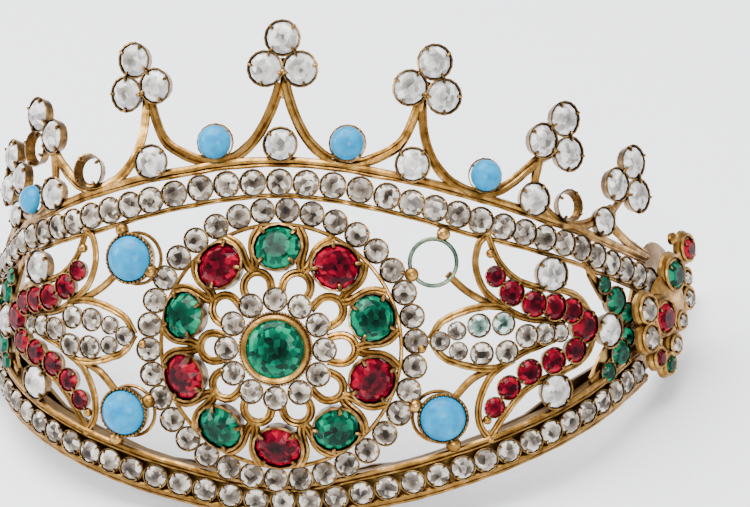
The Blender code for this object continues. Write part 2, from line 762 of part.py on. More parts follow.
def band_through(stones, side):
    """Strip on the wall, as wide as the bent line of stones that it carries."""
    line = [Vector(stone[:2]) for stone in stones]
    middles = between(stones)
    rows = []
    for i, spot in enumerate(middles):
        run = (line[min(i, len(line) - 1)] - line[max(i - 1, 0)]) if 0 < i < len(line) else (
            middles[1] - middles[0] if i == 0 else middles[-1] - middles[-2]
        )
        half = STRIP_MARGIN + min(stone[2] for stone in stones[max(i - 1, 0):i + 1])
        across = Vector((-run.y, run.x)).normalized() * half
        rows.append([wall(side * p.x, p.y, STRIP_OUT) for p in (spot - across, spot + across)])
    return sheet(rows, STRIP_THICKNESS, flip=side < 0)


def stone_field(name, plate, stones, side, material, height=ROW_CROWN, back=ROW_BACK):
    pieces = [plate]
    for s, z, radius in stones:
        pieces.append(crown(wall_frame(side * s, z), radius * STONE_FILL, height, back))
    return fuse(name, pieces, material)


for side_name, side in SIDES.items():
    stone_field(
        "leaf_stones_" + side_name, ribbon(LEAF_PLATE, STRIP_OUT, STRIP_THICKNESS, side),
        LEAF_STONES, side, "clear_paste",
    )
    strip = band_through(CRESCENT_STONES, side)
    stone_field("crescent_stones_" + side_name, strip, CRESCENT_STONES, side, "red_paste")
    stone_field(
        "rosette_" + side_name, ribbon(ROSETTE_EDGES, ROSETTE_OUT, STRIP_THICKNESS, side),
        ROSETTE_STONES, side, "gilt_brass", ROSETTE_CROWN, ROSETTE_OUT + STRIP_THICKNESS / 2,
    )


# Spires: three clear stones on a hub at the top of each stem.

def trefoil(name, frame):
    """Stones of a spire, fused to their hub. A lost one leaves its place on the hub bare."""
    hub = frustum(
        frame, SPIRE_HUB_RADIUS, SPIRE_HUB_RADIUS, SPIRE_HUB_FRONT - SPIRE_HUB_DEPTH,
        SPIRE_HUB_FRONT, sides=6,
    )
    pieces = [hub]
    for angle in (90, 210, 330):
        if (name, angle) == LOST_SPIRE_STONE:
            continue
        turn = math.radians(angle)
        spot = Vector((math.cos(turn), math.sin(turn), 0)) * SPIRE_STONE_CENTRE * MM
        pieces.append(
            crown(frame @ Matrix.Translation(spot), SPIRE_STONE_RADIUS, SPIRE_CROWN, -SPIRE_CROWN)
        )
    return fuse(name, pieces, "clear_paste")


trefoil("spire_0", spire_frame(1, *SPIRES[0][:5]))
for number, spire in enumerate(SPIRES[1:], 1):
    for side_name, side in SIDES.items():
        trefoil("spire_{}_{}".format(number, side_name), spire_frame(side, *spire[:5]))


# Single stones: clear ones in four-claw collets and domed blue ones.

def clear_stone(name, frame, radius):
    stone = crown(frame, radius, SINGLE_CROWN, -SINGLE_CROWN)
    stone.name = name
    dress(stone, "clear_paste")


name, s, z, out, radius = CENTRE_SPIRE_STONE
clear_stone(name, wall_frame(s, z), radius)
for name, s, z, out, radius, left, right in SINGLE_STONES:
    for side_name, kind in (("left", left), ("right", right)):
        full_name = "{}_{}".format(name, side_name)
        spot = wall_frame(SIDES[side_name] * s, z, out if kind == "blue" else 0.0)
        if kind == "clear":
            clear_stone(full_name, spot, radius)
        elif kind == "blue":
            height = out + SINGLE_CROWN
            dress(dome(full_name, spot, radius, height), "blue_glass")


# Medallion: pierced fret, its two rings of clear stones, ten coloured stones and the centre.

def fret_sheet():
    """Pierced sheet, filled between its outlines."""
    outlines = [
        [(radius * math.cos(k * math.tau / sides), radius * math.sin(k * math.tau / sides))
         for k in range(sides)]
        for radius, sides in ((FRET_RADIUS, FRET_SIDES), (FRET_INNER, DOME_SIDES))
    ]
    for turn, corners in FRET_HOLES:
        for k in range(COLOURED_STONES):
            axis = math.radians(90 + turn + 36 * k)
            outlines.append([
                (r * math.cos(axis) - side * math.sin(axis),
                 r * math.sin(axis) + side * math.cos(axis)) for r, side in corners
            ])
    curve = bpy.data.curves.new("fret", "CURVE")
    curve.dimensions = "2D"
    curve.fill_mode = "BOTH"
    curve.extrude = FRET_THICKNESS / 2 * MM
    for outline in outlines:
        spline = curve.splines.new("POLY")
        spline.points.add(len(outline) - 1)
        for knot, (x, y) in zip(spline.points, outline):
            knot.co = (x * MM, y * MM, 0.0, 1.0)
        spline.use_cyclic_u = True
    filled = add_object("fret", curve)
    bpy.context.view_layer.update()
    mesh = bpy.data.meshes.new_from_object(
        filled.evaluated_get(bpy.context.evaluated_depsgraph_get())
    )
    bpy.data.objects.remove(filled, do_unlink=True)
    bm = bmesh.new()
    bm.from_mesh(mesh)
    bmesh.ops.remove_doubles(bm, verts=bm.verts, dist=1e-6)
    for vert in bm.verts:
        vert.co.z += FRET_SLOPE * (FRET_RADIUS * MM - vert.co.xy.length)
    return finish_mesh("fret", bm, medallion_frame(0, 0, FRET_LEVEL))


fuse("medallion_fret", [fret_sheet(), turned(medallion_frame(), DOME_PROFILE, DOME_SIDES)],
     "gilt_brass")


def stone_ring(name, count, centre, table, turn):
    frames = [medallion_frame(centre, turn + k * math.tau / count, table) for k in range(count)]
    joined_stones(name, frames, "clear_paste", RING_STONE_RISE, closed=True)


stone_ring(
    "medallion_ring_stones", RING_STONES, RING_STONE_CENTRE, 0.0, math.pi / 2 + RING_TURN,
)
stone_ring("inner_ring_stones", INNER_STONES, INNER_STONE_CENTRE, INNER_TABLE, math.pi / 2)
for k in range(COLOURED_STONES):
    spot = medallion_frame(COLOURED_CENTRE, math.radians(90 - 36 * k), COLOURED_TABLE)
    spot = spot @ Matrix.Rotation(COLOURED_TILT, 4, "Y")
    colour = "green" if k % 2 == 0 else "red"
    stone = gem(
        "medallion_{}_{}".format(colour, k // 2 + 1), spot, COLOURED_RADIUS, COLOURED_CROWN,
        COLOURED_GIRDLE,
    )
    dress(stone, colour + "_paste")
centre = gem(
    "centre_green", medallion_frame(0, 0, CENTRE_TABLE), CENTRE_RADIUS, CENTRE_CROWN,
    CENTRE_GIRDLE, sides=10,
)
dress(centre, "green_paste")

bpy.data.collections.remove(cutters)
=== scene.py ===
"""Looks of a gilt brass tiara set with paste stones and blue cabochons.

Places are given on the tiara's wall as s (along it from the centre front), z (height) and out
(how far in front of it), in millimetres, before the tiara leans back on the floor.
"""

import math

import bpy
from mathutils import Matrix, Vector


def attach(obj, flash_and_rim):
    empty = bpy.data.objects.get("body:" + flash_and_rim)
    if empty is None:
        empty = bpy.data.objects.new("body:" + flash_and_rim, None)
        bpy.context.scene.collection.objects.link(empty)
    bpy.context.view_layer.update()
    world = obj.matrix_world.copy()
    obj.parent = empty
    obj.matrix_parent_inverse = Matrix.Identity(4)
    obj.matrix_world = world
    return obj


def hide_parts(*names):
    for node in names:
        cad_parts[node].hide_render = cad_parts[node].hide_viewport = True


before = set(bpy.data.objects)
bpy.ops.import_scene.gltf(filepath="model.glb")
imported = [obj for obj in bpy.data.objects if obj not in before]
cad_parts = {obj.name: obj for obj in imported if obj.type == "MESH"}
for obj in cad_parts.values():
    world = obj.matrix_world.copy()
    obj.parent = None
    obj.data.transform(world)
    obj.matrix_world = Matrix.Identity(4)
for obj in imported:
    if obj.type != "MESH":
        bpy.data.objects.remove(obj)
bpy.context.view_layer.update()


# Head band: a plain strip of brass sheet, rolled, bent to the head and gilded.
# It lies behind the base channel, and the tiara leans back on its two ends.

MM = 0.001


def colour(hex_code):
    """An sRGB hex colour as scene-linear light."""
    channels = [int(hex_code[i:i + 2], 16) / 255 for i in (1, 3, 5)]
    return (*[c / 12.92 if c <= 0.04045 else ((c + 0.055) / 1.055) ** 2.4 for c in channels], 1.0)


def add_node(material, kind, links=None, **values):
    """Node with its settings and sockets, and links from other nodes' outputs."""
    made = material.node_tree.nodes.new(kind)
    for key, value in values.items():
        if hasattr(made, key):
            setattr(made, key, value)
        else:
            made.inputs[key.replace("_", " ")].default_value = value
    for socket, source in (links or {}).items():
        material.node_tree.links.new(source, made.inputs[socket])
    return made


def shade_ramp(material, source, stops):
    """Colours along a value, from (position, hex colour) stops."""
    ramp = add_node(material, "ShaderNodeValToRGB", {"Fac": source})
    while len(ramp.color_ramp.elements) < len(stops):
        ramp.color_ramp.elements.new(0.5)
    for element, (position, hex_code) in zip(ramp.color_ramp.elements, stops):
        element.position = position
        element.color = colour(hex_code)
    return ramp.outputs["Color"]


def new_material(name, **sockets):
    """Material with constants on its shader's own sockets."""
    material = bpy.data.materials.new(name)
    material.use_nodes = True
    shader = material.node_tree.nodes["Principled BSDF"]
    for key, value in sockets.items():
        shader.inputs[key.replace("_", " ")].default_value = value
    return material, shader


DENT_MM = 0.7
DENT_DEPTH_MM = 0.12


def gilt_brass(name, stops, grain_mm=2.6, painted_shade="#3A2410", depth=0.9):
    """Gilt brass worked by hand: warm where it is rubbed, finely dented, and with painted shade: a
    dark brown painted into its hollows and between parts.
    """
    material, shader = new_material(name, Metallic=1.0)
    links = material.node_tree.links
    place = add_node(material, "ShaderNodeTexCoord").outputs["Object"]
    wear = add_node(material, "ShaderNodeTexNoise", {"Vector": place}, Detail=4.0,
                    Scale=1 / (grain_mm * MM), Roughness=0.6)
    gilding = shade_ramp(material, wear.outputs["Fac"], stops)
    # Painted shade: the more enclosed a point is, the more its colour turns to a dark brown.
    shade_occlusion = add_node(material, "ShaderNodeAmbientOcclusion", samples=6, Distance=depth * MM)
    unshaded_share = add_node(material, "ShaderNodeMapRange", {"Value": shade_occlusion.outputs["AO"]},
                        From_Min=0.25, From_Max=0.85)
    tone = add_node(material, "ShaderNodeMix", data_type="RGBA")
    links.new(unshaded_share.outputs["Result"], tone.inputs["Factor"])
    tone.inputs["A"].default_value = colour(painted_shade)
    links.new(gilding, tone.inputs["B"])
    links.new(tone.outputs["Result"], shader.inputs["Base Color"])
    polish = add_node(material, "ShaderNodeMapRange", {"Value": wear.outputs["Fac"]},
                      From_Min=0.3, From_Max=0.7, To_Min=0.42, To_Max=0.24)
    links.new(polish.outputs["Result"], shader.inputs["Roughness"])
    dents = add_node(material, "ShaderNodeTexNoise", {"Vector": place}, Detail=2.0,
                     Scale=1 / (DENT_MM * MM))
    relief = add_node(material, "ShaderNodeBump", {"Height": dents.outputs["Fac"]},
                      Strength=0.35, Distance=DENT_DEPTH_MM * MM)
    links.new(relief.outputs["Normal"], shader.inputs["Normal"])
    return material


# Rolled sheet shows broad dull patches of worn gilding, as it was polished last and least.
SHEET_TONES = ((0.3, "#553A18"), (0.5, "#7E5E2E"), (0.72, "#A5824A"))
sheet_brass = gilt_brass("rolled gilt brass sheet", SHEET_TONES, grain_mm=6.0)
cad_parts["head_band"].data.materials.clear()
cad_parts["head_band"].data.materials.append(sheet_brass)


# Base channel: a strip bent to a U, which holds the lower row of stones between two rails.
# It is brass sheet with a grooved wire soldered along each edge.

WALL_ARCS = ((23.563, 220.03), (51.437, 46.858), (80.0, 200.0))
WALL_LEAN = -0.0074
WALL_BOW = -0.00259
STANCE_LEAN = math.radians(11.8)
STANCE = Matrix.Translation((0, -44.43, 1.42)) @ Matrix.Rotation(-STANCE_LEAN, 4, "X")


def plan(s):
    """The wall's place seen from above, and its heading."""
    x, y, heading, left = 0.0, 0.0, 0.0, abs(s)
    for length, radius in WALL_ARCS:
        turn = min(left, length) / radius
        x += radius * (math.sin(heading + turn) - math.sin(heading))
        y += radius * (math.cos(heading) - math.cos(heading + turn))
        heading += turn
        left = max(0.0, left - length)
    return (x, y, heading) if s >= 0 else (-x, y, -heading)


def wall(s, z, out=0.0):
    """Point on the wall, in metres, as the tiara stands."""
    x, y, heading = plan(s)
    reach = WALL_LEAN * z + WALL_BOW * z * z + out
    place = Vector((x + reach * math.sin(heading), y - reach * math.cos(heading), z))
    return STANCE @ place * MM


BASE_RAILS = (
    # s, lower z, upper z
    (0, 0.0, 5.1), (8.3, 0.5, 6.1), (13, 1.1, 7.1), (17, 1.9, 8.0), (25.5, 3.7, 9.9),
    (32, 5.2, 11.5), (40, 7.0, 13.2), (48, 8.7, 14.9), (56, 10.2, 16.3), (67, 11.9, 18.1),
    (77, 13.0, 19.2), (88, 13.9, 19.8),
)
CHANNEL_SECTION = (
    # height from the rail's centre, of the upper rail when True, out
    (-0.7, False, -3.5), (-0.7, False, -1.5), (0.5, False, -1.5), (0.5, False, -2.9),
    (-0.5, True, -2.9), (-0.5, True, -1.5), (0.65, True, -1.5), (0.65, True, -3.5),
)


def smooth(points, parts=4):
    """Points on a smooth curve through the given ones, with so many parts to a span."""
    knots = [Vector(point) for point in points]
    curve = []
    for i in range(len(knots) - 1):
        a, b = knots[max(i - 1, 0)], knots[i]
        c, d = knots[i + 1], knots[min(i + 2, len(knots) - 1)]
        for k in range(parts):
            t = k / parts
            curve.append(0.5 * (2 * b + (c - a) * t + (2 * a - 5 * b + 4 * c - d) * t * t
                                + (3 * b - 3 * c + d - a) * t * t * t))
    curve.append(knots[-1])
    return curve


def both_ways(table):
    """A half's table, from the centre out, as one run from end to end."""
    return [(-row[0], *row[1:]) for row in reversed(table[1:])] + list(table)


def pick(*objects):
    """Select these objects alone, the first one active."""
    bpy.ops.object.select_all(action="DESELECT")
    for thing in objects:
        thing.select_set(True)
    bpy.context.view_layer.objects.active = objects[0]


def outward(thing):
    """Merge doubles and point the faces outwards."""
    pick(thing)
    bpy.ops.object.mode_set(mode="EDIT")
    bpy.ops.mesh.select_all(action="SELECT")
    bpy.ops.mesh.remove_doubles(threshold=1e-6)
    bpy.ops.mesh.normals_make_consistent(inside=False)
    bpy.ops.object.mode_set(mode="OBJECT")
    return thing


def drawn(name, sections):
    """Closed bar extruded from a disc, a ring for each section, and laid on their points."""
    corners = len(sections[0])
    bpy.ops.object.select_all(action="DESELECT")
    bpy.ops.mesh.primitive_circle_add(vertices=corners, radius=1.0, fill_type="NGON",
                                      location=(0, 0, 0))
    bar = bpy.context.active_object
    bar.name = name
    bpy.ops.object.mode_set(mode="EDIT")
    bpy.ops.mesh.select_all(action="SELECT")
    for _ in sections[1:]:
        bpy.ops.mesh.extrude_region_move(TRANSFORM_OT_translate={"value": (0, 0, 1)})
    bpy.ops.object.mode_set(mode="OBJECT")
    for vert in bar.data.vertices:
        corner = round(math.atan2(-vert.co.x, vert.co.y) / math.tau * corners) % corners
        vert.co = sections[round(vert.co.z)][corner]
    return outward(bar)


def finished(thing, name, material, slot, *nodes):
    """Name a piece, dress it, and tie it to the tiara's one body."""
    thing.name = name
    thing.data.name = name
    thing.data.materials.clear()
    thing.data.materials.append(material)
    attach(thing, "root")
    if nodes:
        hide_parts(*nodes)
    return thing


channel = drawn("channel", [
    [wall(s, (high if upper else low) + rise, out) for rise, upper, out in CHANNEL_SECTION]
    for s, low, high in smooth(both_ways(BASE_RAILS), 5)
])
finished(channel, "base_channel", sheet_brass, "gilt_brass", "frame")


# Wires of the frame: rails, crest, and the outlines of leaves and crescents.
# Each is a pair of drawn brass wires laid side by side and soldered, so it shows a groove.

RAIL_TOP = (
    (0, 65.7), (11.1, 65.0), (20, 63.5), (30.8, 61.6), (42.1, 58.6), (50.8, 55.8), (62, 51.4),
    (73.3, 46.8), (86.5, 40.2), (97, 35.0),
)
RAIL_LOW = (
    (0, 59.7), (10.2, 58.9), (20, 57.1), (30, 54.8), (40, 51.8), (50, 48.8), (60, 45.2),
    (70, 41.0), (80, 36.1), (92, 30.0),
)
CREST_SCALLOPS = (
    ((0.5, 79.4), (2.3, 74.6), (5.2, 69.8), (9.2, 66.5), (13.8, 65.3), (19.4, 66.4), (25.0, 69.4),
     (29.8, 75.6)),
    ((31.0, 75.6), (30.9, 70.4), (32.8, 65.4), (37.2, 61.2), (43.4, 58.8), (50.0, 58.9),
     (57.2, 60.8), (63.6, 62.4)),
    ((64.2, 62.4), (60.4, 58.4), (61.0, 54.4), (66.1, 50.0), (74.0, 47.9), (81.0, 47.6),
     (87.2, 47.6)),
    ((87.8, 47.6), (86.2, 44.8), (88.1, 42.4), (92.4, 39.0), (98.5, 35.3)),
)
LEAF_OUTLINES = (
    ((29.4, 33.4), (31.6, 36.2), (35.0, 37.6), (39.4, 38.4), (43.7, 38.3), (46.9, 37.3)),
    ((29.4, 33.4), (31.6, 30.2), (34.7, 28.6), (38.9, 27.3), (43.3, 26.8), (46.9, 27.8)),
)
CRESCENT_OUTLINES = (
    ((44.2, 51.6), (41.8, 49.9), (40.5, 46.8), (40.9, 43.6), (42.4, 40.8), (45.6, 38.2),
     (50.0, 35.3), (56.0, 33.6), (60.6, 32.0)),
    ((44.2, 51.6), (45.6, 47.2), (47.6, 44.3), (50.6, 41.9), (55.2, 40.0), (60.0, 38.8),
     (65.4, 36.4), (68.2, 33.4), (69.4, 30.4), (68.6, 27.0), (64.8, 24.4), (59.1, 23.4),
     (53.7, 22.9), (49.6, 21.9), (46.4, 19.9), (43.4, 17.1), (40.4, 13.6)),
    ((40.4, 13.6), (38.8, 16.0), (38.4, 18.9), (39.2, 21.9), (41.1, 24.9), (43.4, 26.6),
     (49.0, 28.7), (56.0, 29.6), (60.6, 30.2)),
)
SPRIG_STEMS = (
    ((70.6, 41.6), (75.8, 35.7), (78.7, 32.1), (82.4, 28.6), (86.4, 26.4)),
    ((66.6, 18.8), (71.6, 20.3), (77.4, 22.4), (80.8, 24.3), (86.4, 25.6)),
)
STEMS = (
    # points, radius
    (((34.1, 45.0), (38.2, 41.4), (43.4, 38.4)), 0.75),
    (((33.6, 21.6), (37.8, 25.1), (42.9, 26.7)), 0.75),
    (((76.4, 27.6), (79.6, 27.4), (86.0, 25.6)), 0.7),
)
SOLDER_BALLS = (
    # s, z, out, radius
    (33.6, 52.6, -1.0, 1.35), (26.0, 45.6, -1.0, 1.4), (27.6, 31.7, -1.6, 0.9),
    (25.9, 21.2, -1.0, 1.4), (33.0, 13.4, -1.0, 1.5), (44.2, 48.0, -1.2, 0.9),
    (40.1, 17.3, -1.2, 0.9), (40.5, 13.4, -1.6, 1.0), (44.3, 52.0, -1.6, 1.0),
    (70.6, 29.0, -1.4, 1.1),
)


def wires(name, runs):
    """One mesh of round wires, from (points in metres, radius in mm, closed) runs."""
    curve = bpy.data.curves.new(name, "CURVE")
    curve.dimensions = "3D"
    curve.bevel_depth = MM
    curve.bevel_resolution = 2
    curve.use_fill_caps = True
    for points, radius, closed in runs:
        spline = curve.splines.new("POLY")
        spline.points.add(len(points) - 1)
        for knot, point in zip(spline.points, points):
            knot.co = (*point, 1.0)
            knot.radius = radius
        spline.use_cyclic_u = closed
    thing = bpy.data.objects.new(name, curve)
    bpy.context.scene.collection.objects.link(thing)
    pick(thing)
    bpy.ops.object.convert(target="MESH")
    thing = outward(bpy.context.view_layer.objects.active)
    bpy.ops.object.shade_smooth_by_angle(angle=math.radians(40))
    return thing


WAVER_MM = 0.05


def grooved(points, gauges, side, out):
    """Round wires side by side along (s, z) points of the wall, from (shift, radius) gauges."""
    line = smooth(points)
    pair = []
    for shift, radius in gauges:
        places = []
        for i, spot in enumerate(line):
            run = line[min(i + 1, len(line) - 1)] - line[max(i - 1, 0)]
            across = Vector((-run.y, run.x)).normalized() * shift
            waver = WAVER_MM * math.sin(1.9 * i + 3 * shift)
            places.append(wall(side * (spot.x + across.x), spot.y + across.y + waver, out))
        pair.append((places, radius, False))
    return pair


# Drawn wire is smooth, so it gives long bright lines that break where the gilding is worn.
WIRE_TONES = ((0.3, "#553712"), (0.5, "#926A30"), (0.72, "#C79C5A"))
wire_brass = gilt_brass("drawn gilt brass wire", WIRE_TONES)
# Each pair of wires is given as (shift across the run, radius).
RAIL_GAUGES = ((0.3, 0.6), (-0.55, 0.34))
CREST_GAUGES = ((-0.35, 0.72), (0.62, 0.42))
FINE_GAUGES = ((-0.34, 0.4), (0.34, 0.4))
THIN_GAUGES = ((-0.22, 0.28), (0.22, 0.28))
RAIL_TOP_GAUGES = ((0.25, 0.7), (-0.66, 0.38))
runs = []
for row in (1, 2):
    edge = [(r[0], r[row]) for r in both_ways(BASE_RAILS)]
    runs += grooved(edge, RAIL_GAUGES, 1, -1.25)
runs += grooved(both_ways(RAIL_TOP), RAIL_TOP_GAUGES, 1, -2.0)
runs += grooved(both_ways(RAIL_LOW), THIN_GAUGES, 1, -1.9)
for side in (-1, 1):
    for scallop in CREST_SCALLOPS:
        gauges = [(shift * side, gauge) for shift, gauge in CREST_GAUGES]
        runs += grooved(scallop, gauges, side, -2.0)
    for outline in LEAF_OUTLINES + CRESCENT_OUTLINES:
        runs += grooved(outline, FINE_GAUGES, side, -1.5)
    for stem in SPRIG_STEMS:
        runs += grooved(stem, FINE_GAUGES, side, -2.0)
    for points, radius in STEMS:
        runs.append(([wall(side * s, z, -2.2) for s, z in smooth(points)], radius, False))
frame_wires = wires("frame_wires", runs)
finished(frame_wires, "frame_wires", wire_brass, "gilt_brass")


def wall_frame(s, z, out=0.0, face=1.0):
    """Frame on the wall: X along it, Y up it, Z out of it, or less turned than the wall."""
    heading = plan(s)[2] * face
    slope = WALL_LEAN + 2 * WALL_BOW * z
    along = Vector((math.cos(heading), math.sin(heading), 0))
    up = Vector((slope * math.sin(heading), -slope * math.cos(heading), 1)).normalized()
    facing = Matrix((along, up, along.cross(up))).transposed().to_4x4()
    place = STANCE.to_3x3().to_4x4() @ facing
    place.translation = wall(s, z, out)
    return place


# Rounding a cube and casting it leaves a ball of this share of the cube's half side.
BALL_SHARE = 0.857


def ball(name, rounds):
    """Ball of radius 1, raised from a cube by rounding it and casting it on a sphere."""
    bpy.ops.object.select_all(action="DESELECT")
    bpy.ops.mesh.primitive_cube_add(size=2.0 / BALL_SHARE, location=(0, 0, 0))
    drop = bpy.context.active_object
    drop.name = name
    rounding = drop.modifiers.new("Rounding", "SUBSURF")
    rounding.levels = rounding.render_levels = rounds
    surface = drop.modifiers.new("Surface", "CAST")
    surface.factor = 1.0
    for modifier in ("Rounding", "Surface"):
        bpy.ops.object.modifier_apply(modifier=modifier)
    bpy.ops.object.shade_smooth()
    return drop


def copies(name, model, places):
    """Copies of a model at the given places, each with its own mesh, joined as one piece."""
    made = []
    for place in places:
        one = model.copy()
        one.data = model.data.copy()
        one.data.transform(place)
        bpy.context.scene.collection.objects.link(one)
        made.append(one)
    pick(*made)
    if len(made) > 1:
        bpy.ops.object.join()
    thing = bpy.context.view_layer.objects.active
    thing.name = name
    return thing


def sized(place, radius, height=None):
    """A place scaled for a model of radius 1."""
    return place @ Matrix.Diagonal((radius * MM, radius * MM, (height or radius) * MM, 1))


solder_ball = ball("solder_ball", 2)
balls = copies("solder_balls", solder_ball, [
    sized(wall_frame(side * s, z, out), radius)
    for side in (-1, 1) for s, z, out, radius in SOLDER_BALLS
])
finished(balls, "solder_balls", wire_brass, "gilt_brass")


# Small stones: cut paste, foiled at the back, each in a collet with four claws.
# A collet is a turned-up strip of brass soldered to the frame, its claws pressed over the stone.


def choose_faces(thing, test):
    """Select the faces whose middle and normal pass a test."""
    bpy.ops.mesh.select_all(action="DESELECT")
    bpy.ops.object.mode_set(mode="OBJECT")
    for face in thing.data.polygons:
        face.select = bool(test(face.center, face.normal))
    bpy.ops.object.mode_set(mode="EDIT")


def rim_values(thing):
    """Store on each point how near the stone's rim it is, for the stone's painted dark middle and
    painted bright rim.
    """
    rim = thing.data.attributes.new("rim", "FLOAT", "POINT")
    for item, vert in zip(rim.data, thing.data.vertices):
        item.value = min(1.0, vert.co.xy.length)


bpy.ops.object.select_all(action="DESELECT")
bpy.ops.mesh.primitive_cone_add(vertices=12, radius1=1.0, radius2=0.6, depth=0.36,
                                location=(0, 0, 0))
paste_model = bpy.context.active_object
bpy.ops.object.mode_set(mode="EDIT")
bpy.ops.mesh.select_mode(type="FACE")
choose_faces(paste_model, lambda middle, normal: normal.z > 0.95)
bpy.ops.transform.rotate(value=math.pi / 12, orient_axis="Z", center_override=(0, 0, 0))
bpy.ops.mesh.poke()
choose_faces(paste_model, lambda middle, normal: normal.z < -0.95)
bpy.ops.mesh.extrude_region_move(TRANSFORM_OT_translate={"value": (0, 0, -0.16)})
bpy.ops.mesh.extrude_region_move(TRANSFORM_OT_translate={"value": (0, 0, -0.3)})
bpy.ops.transform.resize(value=(0.55, 0.55, 1.0), center_override=(0, 0, -0.6))
bpy.ops.mesh.select_all(action="SELECT")
bpy.ops.mesh.quads_convert_to_tris()
bpy.ops.object.mode_set(mode="OBJECT")
rim_values(paste_model)

CLAW_TURNS = (45, 135, 225, 315)
CLAW_SIZE = (0.2, 0.11, 0.2)
bpy.ops.object.select_all(action="DESELECT")
bpy.ops.mesh.primitive_cone_add(vertices=16, radius1=0.86, radius2=1.07, depth=0.8,
                                end_fill_type="NOTHING", location=(0, 0, -0.5))
collet_model = bpy.context.active_object
collet_model.data.transform(collet_model.matrix_world)
collet_model.matrix_world = Matrix.Identity(4)
wall_of_collet = collet_model.modifiers.new("Wall", "SOLIDIFY")
wall_of_collet.thickness = 0.1
wall_of_collet.offset = 1.0
pick(collet_model)
bpy.ops.object.modifier_apply(modifier="Wall")
claw_model = ball("claw", 1)
claw_model.data.transform(Matrix.Diagonal((*CLAW_SIZE, 1)))
claws = copies("claws", claw_model, [
    Matrix.Rotation(math.radians(turn), 4, "Z") @ Matrix.Translation((0.97, 0, -0.02))
    for turn in CLAW_TURNS
])
pick(collet_model, claws)
bpy.ops.object.join()
bpy.ops.object.shade_smooth_by_angle(angle=math.radians(40))


# The painted flashes are about as wide as two facets, because single facets are too fine to show.
SPARKLE_MM = 1.1


def paste(name, stops, gloss=0.2):
    """Cut lead glass over foil, with painted light: each patch of facets is painted at random from
    dark to a bright flash, and painted brighter towards the rim.
    """
    material, shader = new_material(name, Roughness=0.05, IOR=1.5, Specular_IOR_Level=gloss)
    links = material.node_tree.links
    place = add_node(material, "ShaderNodeTexCoord").outputs["Object"]
    rim = add_node(material, "ShaderNodeAttribute", attribute_name="rim").outputs["Fac"]
    # Painted glints: each cell of about two facets gets its own brightness at random, and the
    # brightness rises towards the stone's rim.
    facets = add_node(material, "ShaderNodeTexVoronoi", {"Vector": place},
                      Scale=1 / (SPARKLE_MM * MM))
    painted_flash = add_node(material, "ShaderNodeSeparateColor", {"Color": facets.outputs["Color"]})
    flash_and_rim = add_node(material, "ShaderNodeMath", {0: painted_flash.outputs["Red"], 1: rim},
                    operation="ADD")
    half = add_node(material, "ShaderNodeMath", {0: flash_and_rim.outputs["Value"]},
                    operation="MULTIPLY")
    half.inputs[1].default_value = 0.5
    tone = shade_ramp(material, half.outputs["Value"], stops)
    links.new(tone, shader.inputs["Base Color"])
    return material


COLLET_TONES = ((0.3, "#3C2810"), (0.5, "#71532B"), (0.72, "#AB854C"))
CLEAR_STOPS = ((0.2, "#211B15"), (0.42, "#564C42"), (0.6, "#8A7F72"), (0.85, "#E4DDD1"))
CLOUDY_STOPS = ((0.15, "#5E5A55"), (0.4, "#928E88"), (0.65, "#C2C0BB"), (0.9, "#F4F4F2"))
GREENED_STOPS = ((0.2, "#1A2622"), (0.42, "#4C6259"), (0.6, "#86A095"), (0.85, "#E8F2EC"))
RED_STOPS = ((0.15, "#100002"), (0.45, "#36000A"), (0.65, "#5C0014"), (0.9, "#A00024"))
GREEN_STOPS = ((0.15, "#000E08"), (0.45, "#002C1E"), (0.65, "#004C36"), (0.9, "#008A62"))
# Pressed thin sheet, bright on its open edges alone, with painted shade: near black painted where
# it is enclosed between the stones.
collet_brass = gilt_brass("pressed gilt brass collets", COLLET_TONES, grain_mm=1.6,
                          painted_shade="#1E120A", depth=1.4)
# Clear paste over aged foil looks warm grey, with a painted dark middle and a painted bright rim.
# The cloudy stones have lost their foil and look milky. Under a corroded foil they look green.
clear_paste = paste("cut clear paste", CLEAR_STOPS)
cloudy_paste = paste("cloudy clear paste", CLOUDY_STOPS)
greened_paste = paste("cut clear paste over a foil gone green", GREENED_STOPS)
# Coloured pastes drink most of the light: deep, with a few saturated painted flashes.
red_paste = paste("cut ruby paste", RED_STOPS, gloss=0.1)
green_paste = paste("cut emerald paste", GREEN_STOPS, gloss=0.1)

BASE_STONES = (
    (0, 2.8), (5.15, 2.9), (10.15, 3.6), (15.1, 4.5), (19.96, 5.5), (24.85, 6.6), (29.8, 7.7),
    (34.55, 8.8), (39.2, 9.8), (44.0, 10.9), (48.9, 11.9), (53.6, 12.8), (58.4, 13.6),
    (63.2, 14.4), (68.15, 15.1), (73.05, 15.6), (78.0, 16.1), (82.9, 16.5),
)
UPPER_STONES = (
    (0, 62.6), (5.32, 62.4), (10.64, 62.0), (15.96, 61.2), (21.28, 60.0), (26.6, 58.7),
    (31.92, 57.5), (37.24, 56.1), (42.56, 54.5), (47.88, 52.7), (53.2, 50.9), (58.52, 49.0),
    (64.0, 47.0), (69.2, 44.9), (74.5, 42.2), (79.7, 39.3), (84.9, 36.6), (90.0, 34.0),
    (94.6, 31.5),
)
LEAF_STONES = (
    # s, z, radius
    (31.3, 33.3, 1.7), (34.9, 35.0, 1.6), (34.9, 31.2, 1.6), (39.6, 35.5, 2.05),
    (39.7, 30.2, 2.05), (45.0, 35.2, 2.05), (45.1, 29.8, 2.05), (50.0, 32.0, 2.1),
    (54.4, 31.7, 1.95), (58.4, 31.0, 1.6),
)
CRESCENT_STONES = (
    (44.3, 44.1, 1.85), (47.6, 40.6, 2.3), (52.6, 37.7, 2.4), (57.6, 36.2, 2.4),
    (62.2, 34.5, 2.3), (65.4, 30.7, 3.0), (61.6, 27.0, 2.3), (55.6, 26.3, 2.35),
    (49.6, 25.3, 2.3), (44.8, 23.1, 2.15), (41.5, 19.8, 1.85),
)
